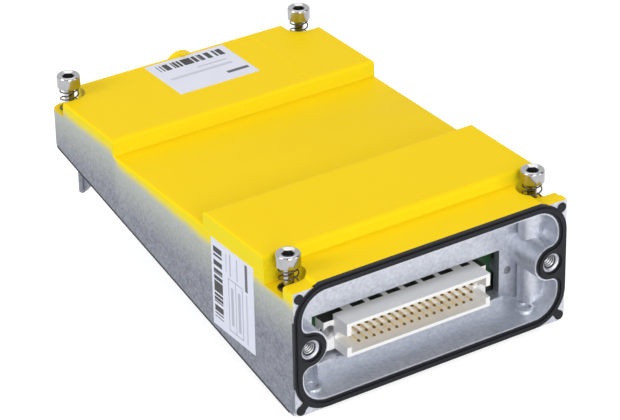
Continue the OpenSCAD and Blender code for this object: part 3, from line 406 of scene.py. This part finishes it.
# gold plating: pale warm metal, darker on the coined tips. It is only a quarter metallic,
# so that the thin contacts keep their colour deep in the block.
gold = finish("gold_plating", "fae3b4", "fff1d2", grain=2, roughness=0.35, metallic=0.25,
              relief=0.005)
tree = gold.node_tree
shader = tree.nodes["Principled BSDF"]
depth = add(tree, "SeparateXYZ", {"Vector": add(tree, "TexCoord").outputs["Object"]}).outputs
tip = add(tree, "Math", {0: depth["Y"], 1: (tip_y - half_l) * MM}, operation="LESS_THAN")
plated = shader.inputs["Base Color"].links[0].from_socket
coined = add(tree, "MixRGB", {"Fac": tip, "Color1": plated, "Color2": colour("8a7040")})
tree.links.new(coined.outputs[0], shader.inputs["Base Color"])
for name in ("contact_pins", "board_link_pins", "head_socket_contacts"):
    cad[name].data.materials[0] = gold

# Plug threads: the tapped bores beside the block, that take the two screws of the
# plug. Their crests are bright where the tap has cut the casting.
bore_x, bore_z = 40.4, 20        # mm from the middle and over the lowest plane
tapped_from, tapped_to = 0.7, 5.3
tap_pitch, tap_groove = 0.8, 0.42
crest_r, wall_r, dark_r = 1.66, 2.25, 1.92
steps_deep, steps_round = 96, 72


def turned(name, z, radius, closed=False):
    """Mesh of revolution about Z. z holds the profile's heights, and radius is a grid
    with one row for each height and one column for each step of the turn. Point =
    (radius * cos(angle), radius * sin(angle), z). A closed profile's last row is joined
    to its first."""
    rows, columns = radius.shape
    angle = np.linspace(0, 2 * np.pi, columns, endpoint=False)[None, :]
    points = np.stack((radius * np.cos(angle), radius * np.sin(angle),
                       np.broadcast_to(z[:, None], radius.shape)), axis=2)
    row = np.arange(rows if closed else rows - 1)[:, None]
    column = np.arange(columns)[None, :]
    across, along = (column + 1) % columns, (row + 1) % rows
    faces = np.stack((row * columns + column, row * columns + across,
                      along * columns + across, along * columns + column), axis=2)
    mesh = bpy.data.meshes.new(name)
    mesh.from_pydata(points.reshape(-1, 3), [], faces.reshape(-1, 4))
    mesh.validate()
    work = bmesh.new()
    work.from_mesh(mesh)
    bmesh.ops.remove_doubles(work, verts=work.verts, dist=1e-7)
    bmesh.ops.recalc_face_normals(work, faces=work.faces)
    work.to_mesh(mesh)
    work.free()
    mesh.shade_smooth()
    mesh.set_sharp_from_angle(angle=math.radians(35))
    piece = bpy.data.objects.new(name, mesh)
    scene.collection.objects.link(piece)
    return piece


def thread(z, pitch, depth, columns):
    """Grid of how far a thread's groove lies below its crests: a triangle wave along z
    that moves on by one pitch in each turn, cut off at its crests and roots."""
    angle = np.linspace(0, 1, columns, endpoint=False)[None, :]
    wave = np.abs(((z[:, None] / pitch - angle) % 1) * 2 - 1)
    return depth * np.clip(wave * 1.3 - 0.15, 0, 1)


# tapped casting: freshly cut aluminium, bright on the crests. The roots of the grooves are
# painted dark: painted shade, for the shade that lies in them
crests = finish("tapped_casting", "8d9096", "b4b6bb", grain=1.5, roughness=0.35,
                metallic=0.75, relief=0.01)
roots = finish("thread_roots_painted_shade", "26272b", "3a3b40", grain=1.5, roughness=0.6, metallic=0.5,
               relief=0.01)
for name, x in (("plug_thread_left", -bore_x), ("plug_thread_right", bore_x)):
    heights = np.linspace(tapped_from, tapped_to, steps_deep) * MM
    groove = thread(heights, tap_pitch * MM, tap_groove * MM, steps_round)
    wall = np.full((2, steps_round), wall_r * MM)
    tapped = turned(name, np.concatenate((heights, heights[-1:], heights[:1])),
                    np.concatenate((crest_r * MM + groove, wall)), closed=True)
    centre = face_values(tapped.data, "center") / MM
    # faces in the grooves' roots take the dark second finish, painted shade
    in_root = np.hypot(centre[0], centre[1]) > dark_r
    tapped.data.polygons.foreach_set("material_index", in_root.astype(np.int32))
    # the profile runs along Z, and the bore runs back from the front wall's face
    tapped.data.transform(Matrix.Translation((x * MM, -half_l * MM, bore_z * MM))
                          @ Matrix.Rotation(math.radians(-90), 4, "X"))
    tapped.data.materials.append(crests)
    tapped.data.materials.append(roots)
    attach(tapped, "module")

# Captive screws: stainless steel, turned and cold-headed, with rounded rims, an inner
# hexagon and a rolled thread. A ring on the slim neck keeps each in its hole.
head_r, head_h, neck_r, thread_r = 3.5, 4.0, 1.5, 2.0     # mm
under_round, rim_round = 0.35, 0.7
face_r, face_dish = 2.65, 0.01
rolled_from, rolled_to, neck_from = 0.5, 6.0, 6.1
rolled_pitch, rolled_groove = 0.7, 0.38
socket_r, socket_depth = 1.75, 2.6
# the hexagon's profile: half its width across flats, and its height over the head's seat
socket_profile = np.array([(1.62, 3.5), (1.55, 2.0), (1.4, 1.9), (0.0, 1.5)])

# turned steel: left bright, with clear reflections. The tool's rings are too fine to show, and an
# uneven sheen with patches of 2.5 mm is drawn for them. The second finish, in the hexagon, is the
# same steel painted dark and rougher: painted shade for the deep socket.
steel = finish("turned_steel", "9a9a9e", "b8b8ba", grain=2.5, roughness=0.17, metallic=1.0,
               relief=0.006)
socket_painted_shade = finish("socket_steel_painted_shade", "3c3c3e", "59595b", grain=0.8, roughness=0.4,
                  metallic=0.8, relief=0.01)
corners = ("front_left", "front_right", "rear_left", "rear_right")
screw_steps = 96
turn = np.linspace(0, 2 * np.pi, screw_steps, endpoint=False)
# a hexagon's side, in halves of its width across flats: 1 / cos(angle from the middle
# of the nearest flat)
flats = 1 / np.cos((turn + np.pi / 6) % (np.pi / 3) - np.pi / 6)
arc = np.linspace(0, np.pi / 2, 7)
rolled = np.linspace(rolled_from, rolled_to, 80)
for corner in corners:
    node = corner + "_screw"
    low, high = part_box(node)
    axis = (low + high) / 2
    seat = (high.z - low.z) / MM - head_h
    end = np.array([(0, 0), (neck_r, 0)])
    neck = np.array([(neck_r, neck_from), (neck_r, seat)])
    under = np.stack((head_r - under_round + under_round * np.sin(arc),
                      seat + under_round - under_round * np.cos(arc)), axis=1)
    rim = np.stack((head_r - rim_round + rim_round * np.cos(arc),
                    seat + head_h - rim_round + rim_round * np.sin(arc)), axis=1)
    head = np.concatenate((neck, under, rim, [(face_r, seat + head_h - face_dish)]))
    radius = np.concatenate((
        np.repeat(end[:, :1], screw_steps, axis=1),
        thread_r - thread(rolled, rolled_pitch, rolled_groove, screw_steps),
        np.repeat(head[:, :1], screw_steps, axis=1),
        socket_profile[:, :1] * flats[None, :]))
    heights = np.concatenate((end[:, 1], rolled, head[:, 1], seat + socket_profile[:, 1]))
    screw = turned("screw_" + corner, heights * MM, radius * MM)
    x, y, z = face_values(screw.data, "center") / MM
    # faces in the hexagon take the dark second finish, painted shade
    sunk = (z > seat + head_h - socket_depth) & (np.hypot(x, y) < socket_r)
    screw.data.polygons.foreach_set("material_index", sunk.astype(np.int32))
    screw.data.transform(Matrix.Translation((axis.x, axis.y, low.z)))
    screw.data.materials.append(steel)
    screw.data.materials.append(socket_painted_shade)
    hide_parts(node)
    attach(screw, node)
for name in ("base_plate_screws", "contact_board_screws", "shroud_rivets", "main_board_screws"):
    cad[name].data.materials[0] = steel

# Springs: four and a quarter turns of hard-drawn wire under each raised head, with closed ends. A
# real one flattens as its screw is pressed down to its seat; each here is built once, at the
# height of its solid. The snap rings on the screws' necks are of the same wire.
turns, coil_r, wire_r = 4.25, 2.725 * MM, 0.225 * MM


def coiled_wire(name, foot, height):
    """Tube along a coil. Its centre line = (radius * cos(t), radius * sin(t), height *
    (u - 0.09 * sin(360 u))) with u from 0 to 1 and t = turns * 360 u, and each ring of
    the tube lies in the plane of the radius and Z. The ends are capped."""
    steps, sides = int(turns * 28), 10
    u = np.linspace(0, 1, steps + 1)[:, None]
    t = 2 * np.pi * turns * u
    b = np.linspace(0, 2 * np.pi, sides, endpoint=False)[None, :]
    out = coil_r + wire_r * np.cos(b)
    rise = (height - 2 * wire_r) * (u - 0.09 * np.sin(2 * np.pi * u))
    z = wire_r + rise + wire_r * np.sin(b)
    points = np.stack((out * np.cos(t), out * np.sin(t), z), axis=2) + np.array(foot)
    row, column = np.arange(steps)[:, None], np.arange(sides)[None, :]
    across = (column + 1) % sides
    faces = np.stack((row * sides + column, (row + 1) * sides + column,
                      (row + 1) * sides + across, row * sides + across), axis=2)
    caps = [list(range(sides)), list(range(steps * sides, (steps + 1) * sides))[::-1]]
    mesh = bpy.data.meshes.new(name)
    mesh.from_pydata(points.reshape(-1, 3), [], faces.reshape(-1, 4).tolist() + caps)
    work = bmesh.new()
    work.from_mesh(mesh)
    bmesh.ops.recalc_face_normals(work, faces=work.faces)
    work.to_mesh(mesh)
    work.free()
    mesh.shade_smooth()
    piece = bpy.data.objects.new(name, mesh)
    scene.collection.objects.link(piece)
    return piece


# spring wire: drawn through a die and oiled, a dark brownish grey with a bright line
wire = finish("spring_wire", "4a4640", "6b665c", grain=1, roughness=0.28, metallic=1.0,
              relief=0.005)
for corner in corners:
    low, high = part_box(corner + "_spring")
    screw_low, screw_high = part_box(corner + "_screw")
    foot = ((screw_low.x + screw_high.x) / 2, (screw_low.y + screw_high.y) / 2, low.z)
    tall = high.z - low.z
    spring = coiled_wire("spring_" + corner, foot, tall)
    spring.data.materials.append(wire)
    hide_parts(corner + "_spring")
    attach(spring, "module")
    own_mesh(spring)
    cad[corner + "_ring"].data.materials[0] = wire

# Boards: two boards of woven glass fibre, etched and screwed into the housing, and what
# is soldered to them. Only the upright one shows, through the bay's window.

# solder mask: printed and cured over the fibre, dark green and half glossy
green = finish("green_board", "1c3f26", "27502f", grain=5, roughness=0.35)
for name in ("contact_board", "main_board"):
    cad[name].data.materials[0] = green
# moulded epoxy and nylon: plain black with a dull sheen
black = finish("black_plastic", "1b1b1d", "26262a", grain=3, roughness=0.45)
for name in ("board_link", "processor_chip", "driver_chips", "head_socket"):
    cad[name].data.materials[0] = black
# shrunk sleeve of the capacitors: deep blue and smooth
sleeve = finish("blue_sleeve", "1f3a66", "2a4a7c", grain=5, roughness=0.3)
cad["filter_capacitors"].data.materials[0] = sleeve
# enamelled copper, wound on the choke's core: warm brown under a clear varnish
copper = finish("wound_copper", "8a4a24", "a55c30", grain=1.2, roughness=0.35, metallic=0.6)
cad["choke"].data.materials[0] = copper

# Base plate: bare aluminium sheet, rolled and stamped, that closes the underside. Small
# sunk screws hold it.

# mill finish: pale grey, with a broad dull reflection
aluminium = finish("rolled_aluminium", "a4a7ac", "b8babf", grain=3, roughness=0.38,
                   metallic=0.8)
cad["base_plate"].data.materials[0] = aluminium

# Labels: white polyester film with bars and plain ruled fields in dark print, stuck on
# the rear block and on the left wall. The real ones' words and signs are left out.
bar_cells, bar_level = 21, 0.455          # the bars' noise has cells of 1.3 mm


def printed_film(name, label, along, across, fields):
    """Film whose print lies on two axes of the label's box: u runs along it and v
    across it, both from 0 to 1. A field (u0, u1, v0, v1, ink) covers the points where
    |u - middle| - half length and |v - middle| - half height are both below 0. Ink 0
    stands for a field of bars, which are where a noise along u is high."""
    # printed film: cool white and faintly cloudy, with a matt face
    material = finish(name, "d0d3e0", "d9dce8", grain=6, roughness=0.45)
    tree = material.node_tree
    low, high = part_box(label)
    axes = add(tree, "SeparateXYZ", {"Vector": add(tree, "TexCoord").outputs["Object"]}).outputs
    u, v = (add(tree, "MapRange", {"Value": axes[axis], "From Min": low["XYZ".index(axis)],
                                   "From Max": high["XYZ".index(axis)]}, clamp=False)
            for axis in (along, across))
    spot = add(tree, "CombineXYZ", {"X": u, "Y": v})
    stripe = add(tree, "TexNoise", {"W": u, "Scale": bar_cells, "Detail": 1,
                                    "Roughness": 0.8}, noise_dimensions="1D")
    bars = add(tree, "Math", {0: stripe, 1: bar_level}, operation="GREATER_THAN")
    inked = 0
    for left, right, bottom, top, ink in fields:
        middle = ((left + right) / 2, (bottom + top) / 2, 0)
        half = ((right - left) / 2, (top - bottom) / 2, 1)
        offset = add(tree, "VectorMath", {0: spot, 1: middle}, operation="SUBTRACT")
        offset = add(tree, "VectorMath", {0: offset}, operation="ABSOLUTE")
        offset = add(tree, "VectorMath", {0: offset, 1: half}, operation="SUBTRACT")
        parts = add(tree, "SeparateXYZ", {"Vector": offset}).outputs
        outside = add(tree, "Math", {0: parts["X"], 1: parts["Y"]}, operation="MAXIMUM")
        inside = add(tree, "Math", {0: outside, 1: 0}, operation="LESS_THAN")
        depth = add(tree, "Math", {0: inside, 1: ink or bars}, operation="MULTIPLY")
        inked = add(tree, "Math", {0: depth, 1: inked}, operation="MAXIMUM")
    shader = tree.nodes["Principled BSDF"]
    plain = shader.inputs["Base Color"].links[0].from_socket
    printed = add(tree, "MixRGB", {"Fac": inked, "Color1": plain, "Color2": colour("101016")})
    tree.links.new(printed.outputs[0], shader.inputs["Base Color"])
    return material


# each field: where it starts and ends along and across the film, and its ink
top_fields = (
    (0.1, 0.92, 0.73, 0.92, 0), (0.49, 0.86, 0.575, 0.6, 0.4), (0.09, 0.87, 0.43, 0.49, 0.25),
    (0.69, 0.96, 0.18, 0.25, 0.9))
side_fields = (
    (0.1, 0.92, 0.745, 0.95, 0), (0.72, 0.93, 0.63, 0.66, 0.25), (0.7, 0.955, 0.535, 0.565, 0.45),
    (0.7, 0.95, 0.375, 0.4, 0.45), (0.66, 0.97, 0.14, 0.2, 0.9), (0.05, 0.63, 0.15, 0.19, 0.25),
    (0.07, 0.66, 0.592, 0.606, 0.6), (0.07, 0.66, 0.424, 0.438, 0.6),
    (0.07, 0.66, 0.265, 0.279, 0.6), (0.06, 0.07, 0.265, 0.606, 0.6),
    (0.66, 0.67, 0.265, 0.606, 0.6), (0.14, 0.58, 0.485, 0.545, 0.4),
    (0.12, 0.58, 0.32, 0.38, 0.4))
for label, name, along, across, fields in (
        ("top_label", "printed_film_top", "X", "Y", top_fields),
        ("side_label", "printed_film_side", "Z", "Y", side_fields)):
    cad[label].data.materials[0] = printed_film(name, label, along, across, fields)

low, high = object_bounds()
